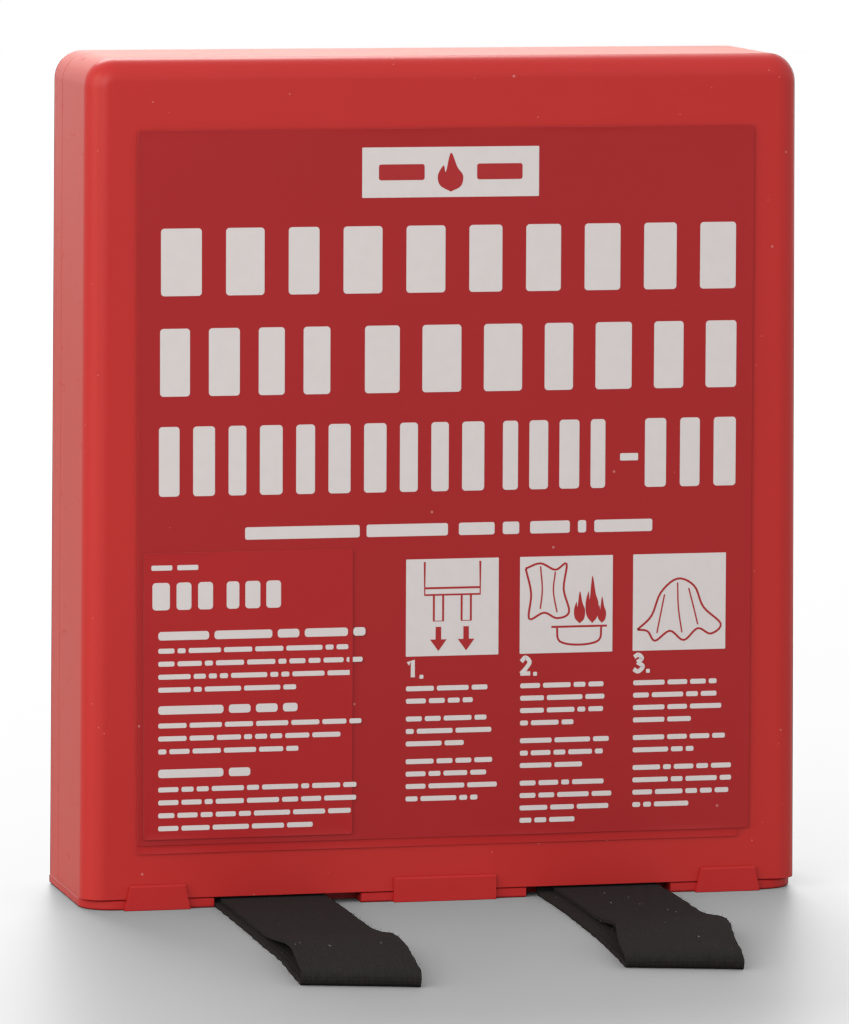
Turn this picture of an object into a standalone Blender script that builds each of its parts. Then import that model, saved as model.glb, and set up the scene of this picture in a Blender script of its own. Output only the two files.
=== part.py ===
"""Fire blanket in a hard wall case, standing on its bottom lid with both pull tapes laid out in front.

X is the width, -Y the front, +Z up. The origin is on the ground below the middle of the case.
The case is two shells that meet in a seam round the sides and the top. Its bottom is a lid that
hinges at the back. The blanket hangs folded inside, and two webbing tapes sewn to it leave through
notches in the lid's front edge.
"""
from math import cos, sin, pi, sqrt

import bmesh
import bpy
from mathutils import Vector

# ---------------------------------------------------------------- driving dimensions, metres
GAP = 0.0003                    # air between two pieces that touch
CASE_HEIGHT = 0.300
CASE_BOTTOM = 0.0038            # lower edge of both shells, just above the lid's rim
HALF_WIDTH_BOTTOM = 0.1306      # the sides draw in slightly towards the top
HALF_WIDTH_TOP = 0.1286
FRONT_Y, BACK_Y = -0.035, 0.035
SEAM_Y = 0.013                  # the front shell is the deeper one
WALL = 0.0025
TOP_CORNER = 0.010
FRONT_FILLET, BACK_FILLET = 0.008, 0.007
INNER_FILLET = 0.0045
TONGUE_DEPTH, TONGUE_INSET = 0.004, 0.0040
RIB_X, RIB_WIDTH, RIB_FRONT = (0.028, 0.084), 0.0020, 0.0158
RIB_BOTTOM, RIB_TOP = 0.045, 0.272
KEYHOLE_X, KEYHOLE_Z, KEYHOLE_HEAD, KEYHOLE_NECK, KEYHOLE_RISE = 0.056, 0.240, 0.0048, 0.0023, 0.011

HINGE_Y, HINGE_Z, HINGE_RADIUS = 0.0328, 0.0022, 0.0022
PIN_RADIUS, PIN_INNER_X, PIN_OUTER_X = 0.0010, 0.080, 0.104
LUG_LENGTH = 0.006
HEEL_END_X = 0.1230

LID_INSET, LID_RIM_TOP, LID_PLATE = 0.0010, 0.0035, 0.0020
LID_BACK_Y = 0.0315
COLLAR_OUT, COLLAR_IN, COLLAR_TOP, COLLAR_BACK_Y = 0.0031, 0.0048, 0.0080, 0.006
NOTCH_X, NOTCH_WIDTH, NOTCH_BACK_Y = 0.0568, 0.0534, -0.024
TAB_FRONT_Y, TAB_TOP = -0.0368, 0.0088
SIDE_TAB_X, SIDE_TAB_FOOT, SIDE_TAB_HEAD = 0.1042, 0.0118, 0.0099   # half widths, low and high
MIDDLE_TAB_HALF = 0.0186

PACK_HALF_WIDTH, PACK_BOTTOM, PACK_TOP = 0.1195, 0.021, 0.261
PACK_FRONT_Y, PACK_BACK_Y, PACK_FOLDS = -0.0279, 0.0150, 5

TAPE_WIDTH, TAPE_PAIR, TAPE_LAYER = 0.038, 0.0029, 0.0013
TAPE_X = {"left": -0.0638, "right": 0.0555}
TAIL_FRONT_Y, TAIL_TOP, TAIL_BEND = -0.0312, 0.084, 0.0020
TAPE_AXIS_Y, TAPE_AXIS_Z = -0.0368, 0.00155     # each loop turns here, just outside its notch
LOOP_NOSE_Y = {"left": -0.2190, "right": -0.2100}
LOOP_NOSE_RADIUS = 0.0040
LOOP_DRIFT = {"left": -0.0100, "right": -0.0170}
STITCH_SIZE, STITCH_LINE, STITCH_DEPTH, STITCH_Z = 0.030, 0.0012, 0.0005, 0.0620

LABEL_Y = {"label_film": -0.0355, "front_label": -0.0360, "type_sticker": -0.0365}
LABEL_THICK = 0.0002
LABEL_BOX = {                   # left, right, bottom, top
    "label_film": (-0.1118, 0.1080, 0.0198, 0.2700),
    "front_label": (-0.1112, 0.1118, 0.0229, 0.2748),
    "type_sticker": (-0.1092, -0.0340, 0.0250, 0.1266),
}
FILLET_STEPS, CORNER_STEPS, ROUND_STEPS = 5, 5, 24


# ---------------------------------------------------------------- materials and mesh helpers
def material(name, colour, roughness, metallic=0.0):
    shader = bpy.data.materials.get(name) or bpy.data.materials.new(name)
    shader.use_nodes = True
    principled = shader.node_tree.nodes["Principled BSDF"]
    principled.inputs["Base Color"].default_value = (*colour, 1.0)
    principled.inputs["Roughness"].default_value = roughness
    principled.inputs["Metallic"].default_value = metallic
    shader.diffuse_color = (*colour, 1.0)
    return shader


def mesh_object(name, points, faces, shader=None, origin=(0.0, 0.0, 0.0)):
    """One closed body, faces turned outward, its object origin at the given place."""
    mesh = bpy.data.meshes.new(name)
    start = Vector(origin)
    mesh.from_pydata([Vector(p) - start for p in points], [], faces)
    work = bmesh.new()
    work.from_mesh(mesh)
    bmesh.ops.recalc_face_normals(work, faces=work.faces)
    work.to_mesh(mesh)
    work.free()
    thing = bpy.data.objects.new(name, mesh)
    thing.location = start
    bpy.context.scene.collection.objects.link(thing)
    if shader:
        mesh.materials.append(shader)
        mesh.shade_smooth()
        mesh.set_sharp_from_angle(angle=0.6)
    return thing


def loft(name, rings, shader=None, origin=(0.0, 0.0, 0.0)):
    """Skin a row of equal rings and close both ends."""
    count = len(rings[0])
    points = [p for ring in rings for p in ring]
    faces = [tuple(range(count)), tuple(range((len(rings) - 1) * count, len(rings) * count))]
    for r in range(len(rings) - 1):
        for k in range(count):
            a, b = r * count + k, r * count + (k + 1) % count
            faces.append((a, b, b + count, a + count))
    return mesh_object(name, points, faces, shader, origin)


def prism_x(name, profile, x0, x1, shader=None, origin=(0.0, 0.0, 0.0)):
    """A (y, z) outline drawn out along X."""
    return loft(name, [[(x, y, z) for y, z in profile] for x in (x0, x1)], shader, origin)


def box(name, x, y, z, shader=None):
    (x0, x1), (y0, y1), (z0, z1) = x, y, z
    return prism_x(name, [(y0, z0), (y1, z0), (y1, z1), (y0, z1)], x0, x1, shader)


def arc(cy, cz, radius, start, end, steps):
    angles = [start + (end - start) * k / steps for k in range(steps + 1)]
    return [(cy + radius * cos(a), cz + radius * sin(a)) for a in angles]


def rod_x(name, x0, x1, y, z, radius, shader=None, origin=(0.0, 0.0, 0.0)):
    profile = arc(y, z, radius, 0.0, 2 * pi, ROUND_STEPS)[:-1]
    return prism_x(name, profile, x0, x1, shader, origin)


def combine(target, other, operation):
    """Live Boolean; the other body is only a guide and is left out of the model."""
    cut = target.modifiers.new(other.name, "BOOLEAN")
    cut.object, cut.operation, cut.solver = other, operation, "EXACT"
    other.hide_render, other.display_type = True, "WIRE"
    other.hide_set(True)


def joined(name, pieces):
    """Several separate bodies in one guide mesh."""
    mesh = bpy.data.meshes.new(name)
    work = bmesh.new()
    for piece in pieces:
        work.from_mesh(piece.data)
        old = piece.data
        bpy.data.objects.remove(piece)
        bpy.data.meshes.remove(old)
    work.to_mesh(mesh)
    work.free()
    guide = bpy.data.objects.new(name, mesh)
    bpy.context.scene.collection.objects.link(guide)
    return guide


def empty(name, place, parent=None):
    marker = bpy.data.objects.new(name, None)
    marker.empty_display_size = 0.02
    bpy.context.scene.collection.objects.link(marker)
    attach(marker, parent, place)
    return marker


def attach(thing, parent, place=None):
    """Parent without moving: the child's location is counted from the parent's place."""
    world = Vector(place) if place is not None else thing.location.copy()
    if parent:
        thing.parent = parent
        world = world - parent_place(parent)
    thing.location = world


def parent_place(thing):
    place = Vector((0.0, 0.0, 0.0))
    while thing:
        place += thing.location
        thing = thing.parent
    return place


# ---------------------------------------------------------------- the case's outline
def half_width(z):
    return HALF_WIDTH_BOTTOM + (HALF_WIDTH_TOP - HALF_WIDTH_BOTTOM) * z / CASE_HEIGHT


def arch(y, inset, bottom):
    """The case seen from the front at one depth: straight sides, two rounded top corners."""
    radius = max(TOP_CORNER - inset, 0.002)
    spring = CASE_HEIGHT - inset - radius
    centre = half_width(spring) - inset - radius
    foot = half_width(bottom) - inset
    points = [(-foot, y, bottom)]
    for side, start in ((-1, pi), (1, pi / 2)):
        for k in range(CORNER_STEPS + 1):
            a = start - k * pi / 2 / CORNER_STEPS
            points.append((side * centre + radius * cos(a), y, spring + radius * sin(a)))
    points.append((foot, y, bottom))
    return points


def filleted_end(end_y, inset, fillet, bottom):
    """Arches that roll from the sides onto the flat face at end_y."""
    side = 1 if end_y > 0 else -1
    rings = []
    for k in range(FILLET_STEPS + 1):
        a = k * pi / 2 / FILLET_STEPS
        y = end_y - side * fillet * (1 - sin(a))
        rings.append(arch(y, inset + fillet * (1 - cos(a)), bottom))
    return rings


def make_front_shell(shader):
    shell = loft("front_shell", [arch(SEAM_Y, 0, CASE_BOTTOM)]
                 + filleted_end(FRONT_Y, 0, FRONT_FILLET, CASE_BOTTOM), shader)
    room = loft("front_room", [arch(SEAM_Y + 0.01, WALL, -0.02)]
                + filleted_end(FRONT_Y + WALL, WALL, INNER_FILLET, -0.02))
    combine(shell, room, "DIFFERENCE")
    return shell


def keyhole(x):
    """Outline of a hanging slot in the back wall: round head with a narrow neck above it."""
    start = sqrt(KEYHOLE_HEAD ** 2 - KEYHOLE_NECK ** 2)
    low = pi / 2 + pi * 0.16
    points = [(x + KEYHOLE_HEAD * cos(low + k * (2 * pi - 2 * pi * 0.16) / 16),
               KEYHOLE_Z + KEYHOLE_HEAD * sin(low + k * (2 * pi - 2 * pi * 0.16) / 16)) for k in range(17)]
    points.append((x + KEYHOLE_NECK, KEYHOLE_Z + start + 0.001))
    for k in range(9):
        a = k * pi / 8
        points.append((x + KEYHOLE_NECK * cos(a), KEYHOLE_Z + KEYHOLE_RISE + KEYHOLE_NECK * sin(a)))
    points.append((x - KEYHOLE_NECK, KEYHOLE_Z + start + 0.001))
    rings = [[(px, y, pz) for px, pz in points] for y in (BACK_Y - 0.006, BACK_Y + 0.004)]
    return loft("keyhole_guide", rings)


def make_back_shell(shader):
    join_y = SEAM_Y + GAP
    shell = loft("back_shell", [arch(SEAM_Y - TONGUE_DEPTH, WALL + GAP, CASE_BOTTOM + 0.0005),
                                arch(join_y, WALL + GAP, CASE_BOTTOM + 0.0005), arch(join_y, 0, CASE_BOTTOM)]
                 + filleted_end(BACK_Y, 0, BACK_FILLET, CASE_BOTTOM), shader)
    room = loft("back_room", [arch(SEAM_Y - 0.01, TONGUE_INSET, -0.02), arch(SEAM_Y + 0.004, TONGUE_INSET, -0.02),
                              arch(SEAM_Y + 0.0055, WALL, -0.02)]
                + filleted_end(BACK_Y - WALL, WALL, INNER_FILLET, -0.02))
    combine(shell, room, "DIFFERENCE")
    # the back edge is shorter, so the lid's round heel can turn below it
    combine(shell, box("heel_relief", (-0.14, 0.14), (0.030, 0.037), (-0.01, CASE_BOTTOM + 0.0009)), "DIFFERENCE")
    ribs = [box("rib", (s * x - RIB_WIDTH / 2, s * x + RIB_WIDTH / 2), (RIB_FRONT, BACK_Y - WALL / 2),
                (RIB_BOTTOM, RIB_TOP)) for x in RIB_X for s in (-1, 1)]
    combine(shell, joined("ribs", ribs), "UNION")
    lugs = []
    for side in (-1, 1):
        for inner in (PIN_INNER_X, PIN_OUTER_X - LUG_LENGTH):
            profile = arc(HINGE_Y, HINGE_Z, HINGE_RADIUS, pi, 2 * pi, ROUND_STEPS // 2)
            profile += [(BACK_Y, 0.0080), (BACK_Y - WALL + 0.0004, 0.0080), (HINGE_Y - HINGE_RADIUS, 0.0062)]
            lugs.append(prism_x("lug", profile, side * inner, side * (inner + LUG_LENGTH)))
    combine(shell, joined("lugs", lugs), "UNION")
    bores = [rod_x("bore", s * (PIN_INNER_X - 0.002), s * (PIN_OUTER_X + 0.002), HINGE_Y, HINGE_Z,
                   PIN_RADIUS + GAP) for s in (-1, 1)]
    combine(shell, joined("lug_bores", bores), "DIFFERENCE")
    combine(shell, joined("keyholes", [keyhole(-KEYHOLE_X), keyhole(KEYHOLE_X)]), "DIFFERENCE")
    return shell


# ---------------------------------------------------------------- the bottom lid
def lid_outline(z, inset, back_y):
    """Plan of the case's bottom: a rectangle with rounded front corners."""
    radius = max(FRONT_FILLET - inset, 0.002)
    half = half_width(0) - inset
    front = FRONT_Y + inset
    points = [(half, back_y, z), (-half, back_y, z)]
    for side, start in ((-1, pi), (1, 1.5 * pi)):
        for k in range(CORNER_STEPS + 1):
            a = start + k * pi / 2 / CORNER_STEPS
            points.append((side * (half - radius) + radius * cos(a), front + radius + radius * sin(a), z))
    return points


def clip_tab(x, foot, head):
    """A tab that stands in front of the shell, tied to the rim by its foot."""
    back = FRONT_Y - GAP
    profile = [(TAB_FRONT_Y, 0.0), (-0.0335, 0.0), (-0.0335, LID_RIM_TOP - 0.0002), (back, LID_RIM_TOP - 0.0002),
               (back, TAB_TOP), (TAB_FRONT_Y + 0.0005, TAB_TOP), (TAB_FRONT_Y, TAB_TOP - 0.0005)]
    rings = [[(x + side * (foot + (head - foot) * z / TAB_TOP), y, z) for y, z in profile] for side in (-1, 1)]
    return loft("tab", rings)


def make_lid(shader):
    hinge = (0.0, HINGE_Y, HINGE_Z)
    lid = loft("bottom_lid", [lid_outline(0.0, LID_INSET + 0.0003, LID_BACK_Y),
                              lid_outline(0.0003, LID_INSET, LID_BACK_Y),
                              lid_outline(LID_RIM_TOP, LID_INSET, LID_BACK_Y),
                              lid_outline(LID_RIM_TOP, COLLAR_OUT, LID_BACK_Y - 0.001),
                              lid_outline(COLLAR_TOP, COLLAR_OUT + 0.0002, LID_BACK_Y - 0.001)], shader, hinge)
    combine(lid, loft("lid_room", [lid_outline(z, COLLAR_IN, 0.045) for z in (LID_PLATE, 0.012)]), "DIFFERENCE")
    combine(lid, box("collar_end", (-0.14, 0.14), (COLLAR_BACK_Y, 0.045), (LID_RIM_TOP, 0.012)), "DIFFERENCE")
    half = NOTCH_WIDTH / 2
    notches = [box("notch", (s * NOTCH_X - half, s * NOTCH_X + half), (-0.040, NOTCH_BACK_Y), (-0.005, 0.012))
               for s in (-1, 1)]
    combine(lid, joined("tape_notches", notches), "DIFFERENCE")
    gaps = []
    for side in (-1, 1):
        for inner in (PIN_INNER_X, PIN_OUTER_X - LUG_LENGTH):
            x0, x1 = sorted((side * (inner - GAP), side * (inner + LUG_LENGTH + GAP)))
            gaps.append(box("gap", (x0, x1), (HINGE_Y - HINGE_RADIUS - 0.0004, 0.040), (-0.005, 0.012)))
    combine(lid, joined("lug_gaps", gaps), "DIFFERENCE")
    knuckle = (PIN_INNER_X + LUG_LENGTH + GAP, PIN_OUTER_X - LUG_LENGTH - GAP)
    outer, inner = PIN_OUTER_X + GAP, PIN_INNER_X - GAP
    spans = [(-HEEL_END_X, -outer), (-knuckle[1], -knuckle[0]), (-inner, inner), knuckle, (outer, HEEL_END_X)]
    heel = [rod_x("heel", x0, x1, HINGE_Y, HINGE_Z, HINGE_RADIUS) for x0, x1 in spans]
    combine(lid, joined("heel_rods", heel), "UNION")
    tabs = [clip_tab(-SIDE_TAB_X, SIDE_TAB_FOOT, SIDE_TAB_HEAD), clip_tab(0.0, MIDDLE_TAB_HALF, MIDDLE_TAB_HALF),
            clip_tab(SIDE_TAB_X, SIDE_TAB_FOOT, SIDE_TAB_HEAD)]
    combine(lid, joined("clip_tabs", tabs), "UNION")
    bores = [rod_x("bore", s * (knuckle[0] - 0.0003), s * (knuckle[1] + 0.0003), HINGE_Y, HINGE_Z,
                   PIN_RADIUS + GAP) for s in (-1, 1)]
    combine(lid, joined("knuckle_bores", bores), "DIFFERENCE")
    return lid


# ---------------------------------------------------------------- blanket, tapes, stitching
def make_pack(shader):
    """The folded blanket: five folds side by side, rounded where the cloth turns at top and bottom."""
    pitch = (PACK_BACK_Y - PACK_FRONT_Y) / PACK_FOLDS
    radius = pitch / 2

    def ring(x, shrink):
        points = []
        for k in range(PACK_FOLDS):
            y = PACK_FRONT_Y + (k + 0.5) * pitch
            for step in range(6):
                a = pi + (step + 0.5) * pi / 6
                points.append((x, y + radius * cos(a), PACK_BOTTOM + radius + radius * sin(a) + shrink))
        for k in reversed(range(PACK_FOLDS)):
            y = PACK_FRONT_Y + (k + 0.5) * pitch
            for step in range(6):
                a = (step + 0.5) * pi / 6
                points.append((x, y + radius * cos(a), PACK_TOP - radius + radius * sin(a) - shrink))
        middle = (PACK_FRONT_Y + PACK_BACK_Y) / 2
        half = (PACK_BACK_Y - PACK_FRONT_Y) / 2
        return [(px, middle + (py - middle) * (half - shrink) / half, pz) for px, py, pz in points]

    w = PACK_HALF_WIDTH
    return loft("folded_blanket", [ring(-w, 0.0012), ring(-w + 0.0015, 0.0), ring(w - 0.0015, 0.0),
                                   ring(w, 0.0012)], shader)


def make_tail(side, shader):
    """Both ends of one tape, laid together: down the pack's front, then out under the shell."""
    inner, outer = TAIL_BEND, TAIL_BEND + TAPE_PAIR
    cy, cz = TAIL_FRONT_Y - inner, inner + TAPE_PAIR + 0.0001
    profile = arc(cy, cz, outer, 0.0, -pi / 2, 8)
    profile += arc(TAPE_AXIS_Y, TAPE_AXIS_Z, TAPE_PAIR / 2, -pi / 2, -1.5 * pi, 8)
    profile += arc(cy, cz, inner, -pi / 2, 0.0, 8) + [(TAIL_FRONT_Y, TAIL_TOP), (TAIL_FRONT_Y + TAPE_PAIR, TAIL_TOP)]
    x = TAPE_X[side]
    return prism_x("tape_tail_" + side, profile, x - TAPE_WIDTH / 2, x + TAPE_WIDTH / 2, shader)


def loop_start():
    """The loop begins just beyond the tail's rounded end, so that it can turn round it."""
    return TAPE_AXIS_Y - TAPE_PAIR / 2 - GAP


def loop_path(nose_y):
    """Centre line of one half-folded tape, from its lower end out to the nose and back on top."""
    low, high = TAPE_LAYER / 2, TAPE_LAYER * 1.5 + GAP
    nose = LOOP_NOSE_RADIUS
    turn_y, reach = nose_y + nose, loop_start() - nose_y - nose
    lower = [(loop_start() - reach * k / 8, low) for k in range(9)]
    angles = [pi * k / 8 for k in range(1, 9)]
    turn = [(turn_y - nose * sin(a), low + nose * (1 - cos(a))) for a in angles]
    upper = []
    for k in range(1, 13):
        fall = max(0.0, 1 - 1.25 * k / 12) ** 1.5      # the upper layer comes down to the lower one
        upper.append((turn_y + reach * k / 12, high + (low + 2 * nose - high) * fall))
    return lower + turn + upper


def make_loop(side, shader):
    start_y, nose_y = loop_start(), LOOP_NOSE_Y[side]
    path = loop_path(nose_y)
    half, thick = TAPE_WIDTH / 2, TAPE_LAYER / 2
    rings = []
    for k, (y, z) in enumerate(path):
        y0, z0 = path[max(k - 1, 0)]
        y1, z1 = path[min(k + 1, len(path) - 1)]
        ty, tz = y1 - y0, z1 - z0
        length = sqrt(ty * ty + tz * tz)
        ny, nz = -tz / length, ty / length
        out = (start_y - y) / (start_y - nose_y)
        x = TAPE_X[side] + LOOP_DRIFT[side] * out ** 2
        rings.append([(x - half, y - ny * thick, z - nz * thick), (x + half, y - ny * thick, z - nz * thick),
                      (x + half, y + ny * thick, z + nz * thick), (x - half, y + ny * thick, z + nz * thick)])
    return loft("tape_loop_" + side, rings, shader, (TAPE_X[side], TAPE_AXIS_Y, TAPE_AXIS_Z))


def make_stitching(side, shader):
    """Thread in a box with a cross, sewn through the tape's ends into the blanket's corner."""
    x, z, half, line = TAPE_X[side], STITCH_Z, STITCH_SIZE / 2, STITCH_LINE
    y1 = TAIL_FRONT_Y - GAP
    y0 = y1 - STITCH_DEPTH
    frame = box("tape_stitching_" + side, (x - half, x + half), (y0, y1), (z - half, z + half), shader)
    inner = half - line
    cuts = []
    for turn in range(4):                       # four triangular windows leave the box and its cross
        a, b = cos(turn * pi / 2), sin(turn * pi / 2)
        window = [(-inner + 1.0 * line, -inner), (inner - 1.0 * line, -inner), (0.0, -1.0 * line)]
        rings = [[(x + u * a - v * b, y, z + u * b + v * a) for u, v in window] for y in (y0 - 0.001, y1 + 0.001)]
        cuts.append(loft("window", rings))
    combine(frame, joined("windows_" + side, cuts), "DIFFERENCE")
    return frame


def make_label(name, shader):
    left, right, bottom, top = LABEL_BOX[name]
    y, radius = LABEL_Y[name], 0.002
    outline = []
    corners = ((right - radius, top - radius, 0.0), (left + radius, top - radius, pi / 2),
               (left + radius, bottom + radius, pi), (right - radius, bottom + radius, 1.5 * pi))
    for cx, cz, start in corners:
        for k in range(4):
            a = start + k * pi / 6
            outline.append((cx + radius * cos(a), cz + radius * sin(a)))
    return loft(name, [[(x, depth, z) for x, z in outline] for depth in (y, y + LABEL_THICK)], shader)


# ---------------------------------------------------------------- build the assembly
for old in list(bpy.data.objects):
    bpy.data.objects.remove(old)

red = material("shell_red", (0.52, 0.030, 0.034), 0.34)
lid_red = material("lid_red", (0.50, 0.028, 0.032), 0.36)
label_red = material("label_red", (0.38, 0.022, 0.026), 0.42)
steel = material("pin_steel", (0.55, 0.55, 0.56), 0.35, 1.0)
cloth = material("glass_cloth", (0.80, 0.79, 0.75), 0.85)
webbing = material("black_webbing", (0.028, 0.026, 0.026), 0.90)
thread = material("white_thread", (0.75, 0.74, 0.70), 0.80)

housing = empty("housing", (0.0, 0.0, 0.0))
lid_hinge = empty("lid_hinge", (0.0, HINGE_Y, HINGE_Z), housing)
blanket_slide = empty("blanket_slide", (0.0, 0.0, PACK_BOTTOM), housing)

for piece in (make_front_shell(red), make_back_shell(red)):
    attach(piece, housing)
for name in LABEL_BOX:
    attach(make_label(name, label_red), housing)
for side, x in (("left", -1), ("right", 1)):
    middle = x * (PIN_INNER_X + PIN_OUTER_X) / 2
    pin = rod_x("hinge_pin_" + side, x * PIN_INNER_X, x * PIN_OUTER_X, HINGE_Y, HINGE_Z, PIN_RADIUS, steel,
                (middle, HINGE_Y, HINGE_Z))
    attach(pin, housing)
attach(make_lid(lid_red), lid_hinge)
attach(make_pack(cloth), blanket_slide)
for side in ("left", "right"):
    attach(make_tail(side, webbing), blanket_slide)
    attach(make_stitching(side, thread), blanket_slide)
    swing = empty("tape_hinge_" + side, (TAPE_X[side], TAPE_AXIS_Y, TAPE_AXIS_Z), blanket_slide)
    attach(make_loop(side, webbing), swing)

bpy.context.view_layer.update()
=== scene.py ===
# %% [markdown]
# # A fire blanket in its wall case
# A square of woven glass cloth is folded into a flat red case. Two black webbing tapes sewn to the
# cloth leave the case at the bottom. Pulling them pushes the hinged lid open and the cloth comes out.
# This lesson dresses a fixed, measured model: every piece is made where that model says it is.

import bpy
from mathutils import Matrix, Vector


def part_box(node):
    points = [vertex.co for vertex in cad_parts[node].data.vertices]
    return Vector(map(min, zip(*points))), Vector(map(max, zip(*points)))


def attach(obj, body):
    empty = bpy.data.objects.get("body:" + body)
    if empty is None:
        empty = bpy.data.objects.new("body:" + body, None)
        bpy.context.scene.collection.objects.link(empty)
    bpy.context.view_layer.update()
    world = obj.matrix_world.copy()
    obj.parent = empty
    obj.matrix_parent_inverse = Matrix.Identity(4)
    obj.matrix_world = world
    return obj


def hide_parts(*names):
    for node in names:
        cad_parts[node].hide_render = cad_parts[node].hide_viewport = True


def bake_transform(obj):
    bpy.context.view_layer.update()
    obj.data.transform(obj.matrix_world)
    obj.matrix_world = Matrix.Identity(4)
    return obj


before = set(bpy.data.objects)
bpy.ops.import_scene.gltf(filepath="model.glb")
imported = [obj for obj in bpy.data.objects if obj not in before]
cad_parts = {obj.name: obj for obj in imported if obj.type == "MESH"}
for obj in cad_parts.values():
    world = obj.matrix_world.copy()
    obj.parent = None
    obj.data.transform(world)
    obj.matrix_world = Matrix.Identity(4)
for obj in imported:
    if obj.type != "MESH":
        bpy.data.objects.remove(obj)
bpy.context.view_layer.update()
print("pieces in the frame:", sorted(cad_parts))

# %% Tools used all through the lesson
from math import cos, pi, radians, sin, sqrt, tau

import bmesh
import bpy
import numpy as np
from mathutils import Matrix, Vector, noise

scene = bpy.context.scene
scene.view_settings.view_transform = "Standard"

# %% [markdown]
# ## The camera
# A long lens a few steps away, a little above the case and to its left, shows the front square on,
# a sliver of the left side and the top, and the tapes coming towards us.

# %% Place the camera
camera_data = bpy.data.cameras.new("studio_camera")
camera_data.lens, camera_data.sensor_width = 270.5, 36.0
camera_data.clip_start, camera_data.clip_end = 0.05, 60.0
camera = bpy.data.objects.new("studio_camera", camera_data)
scene.collection.objects.link(camera)
turn = (Matrix.Rotation(radians(-13.29), 4, "Z") @ Matrix.Rotation(radians(-6.166), 4, "X")
        @ Matrix.Rotation(radians(-0.24), 4, "Y") @ Matrix.Rotation(radians(90.0), 4, "X"))
camera.matrix_world = Matrix.Translation((-0.6296, -2.6675, 0.4312)) @ turn
scene.camera = camera
print("camera stands", round(camera.location.length, 2), "m away")

# %% [markdown]
# ## Writing a finish as arithmetic
# A finish is a small program: position goes in, colour, gloss and relief come out. Wrapping a node's
# socket in a class lets Python's own operators add the Math nodes, so a finish reads like a formula.

# %% A value that varies over a surface
class Field:
    """One output socket. Operators on it add Math nodes."""

    def __init__(self, finish, socket):
        self.finish, self.socket = finish, socket

    def math(self, operation, *operands):
        return self.finish.add("ShaderNodeMath", {"operation": operation}, dict(enumerate(operands)))

    def __add__(self, other): return self.math("ADD", self, other)
    def __sub__(self, other): return self.math("SUBTRACT", self, other)
    def __rsub__(self, other): return self.math("SUBTRACT", other, self)
    def __mul__(self, other): return self.math("MULTIPLY", self, other)
    def __truediv__(self, other): return self.math("DIVIDE", self, other)
    def __lt__(self, other): return self.math("LESS_THAN", self, other)
    def __abs__(self): return self.math("ABSOLUTE", self)
    def wave(self): return self.math("SINE", self)
    def whole(self): return self.math("FLOOR", self)
    __radd__, __rmul__ = __add__, __mul__


# %% A finish being written
class Finish:
    """A material. add() puts in any node: settings first, then the values or links of its sockets."""

    def __init__(self, name):
        self.material = bpy.data.materials.new(name)
        self.material.use_nodes = True
        self.tree = self.material.node_tree
        self.surface = self.tree.nodes["Principled BSDF"]

    def add(self, kind, settings=None, values=None, output=0):
        node = self.tree.nodes.new(kind)
        for key, setting in (settings or {}).items():
            if key == "stops":
                while len(node.color_ramp.elements) < len(setting):
                    node.color_ramp.elements.new(1.0)
                for element, (place, colour) in zip(node.color_ramp.elements, setting):
                    element.position, element.color = place, colour
            else:
                setattr(node, key, setting)
        for key, value in (values or {}).items():
            if isinstance(value, Field):
                self.tree.links.new(value.socket, node.inputs[key])
            else:
                node.inputs[key].default_value = value
        return Field(self, node.outputs[output])

    def place(self, scale=(1.0, 1.0, 1.0)):
        """Position on the piece in metres, stretched by a factor along each axis."""
        spot = self.add("ShaderNodeTexCoord", output="Object")
        return self.add("ShaderNodeVectorMath", {"operation": "MULTIPLY"}, {0: spot, 1: scale})

    def cloth(self):
        """Across and along a strip or sheet, in metres, from its own map."""
        spot = self.add("ShaderNodeUVMap", {"uv_map": "cloth"})
        split = self.add("ShaderNodeSeparateXYZ", None, {0: spot})
        node = split.socket.node
        return Field(self, node.outputs[0]), Field(self, node.outputs[1])

    def noise(self, where, scale, detail=2.0, rough=0.5):
        return self.add("ShaderNodeTexNoise", None,
                        {"Vector": where, "Scale": scale, "Detail": detail, "Roughness": rough})

    def ramp(self, field, low, high):
        """0 below low, 1 above high."""
        return self.add("ShaderNodeMapRange", {"interpolation_type": "SMOOTHSTEP"},
                        {"Value": field, "From Min": low, "From Max": high})

    def tint(self, low, high, share):
        return self.add("ShaderNodeMix", {"data_type": "RGBA"}, {0: share, 6: low, 7: high}, output=2)

    def specks(self, where, scale, size, share):
        """Scattered dots: a cell shows its dot only when its own random number is below share."""
        cell = self.add("ShaderNodeTexVoronoi", None, {"Vector": where, "Scale": scale, "Randomness": 1.0})
        lucky = self.add("ShaderNodeSeparateColor", None, {0: Field(self, cell.socket.node.outputs["Color"])})
        return (cell < size) * (lucky < share)

    def wear(self, colour, roughness, height=None, depth=0.0003, strength=0.5, **constants):
        """Feed the surface. Numbers that are the same all over go straight onto its own sockets."""
        for key, value in (("Base Color", colour), ("Roughness", roughness)):
            if isinstance(value, Field):
                self.tree.links.new(value.socket, self.surface.inputs[key])
            else:
                self.surface.inputs[key].default_value = value
        if height is not None:
            bump = self.add("ShaderNodeBump", None,
                            {"Strength": strength, "Distance": depth, "Height": height})
            self.tree.links.new(bump.socket, self.surface.inputs["Normal"])
        for key, value in constants.items():
            self.surface.inputs[key.replace("_", " ")].default_value = value
        return self.material


def paint(r, g, b):
    return (r, g, b, 1.0)


# %% [markdown]
# ## Moulded red plastic
# The case is injection moulded polypropylene: a waxy, slightly see-through plastic with a satin skin.
# Its colour is nearly even, with faint clouds where the melt flowed, a very fine orange-peel skin, a
# few rubbed patches where hands slide it off a shelf, and a little dust. Light enters the skin, so some
# subsurface scattering warms the thin edges.

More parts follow.
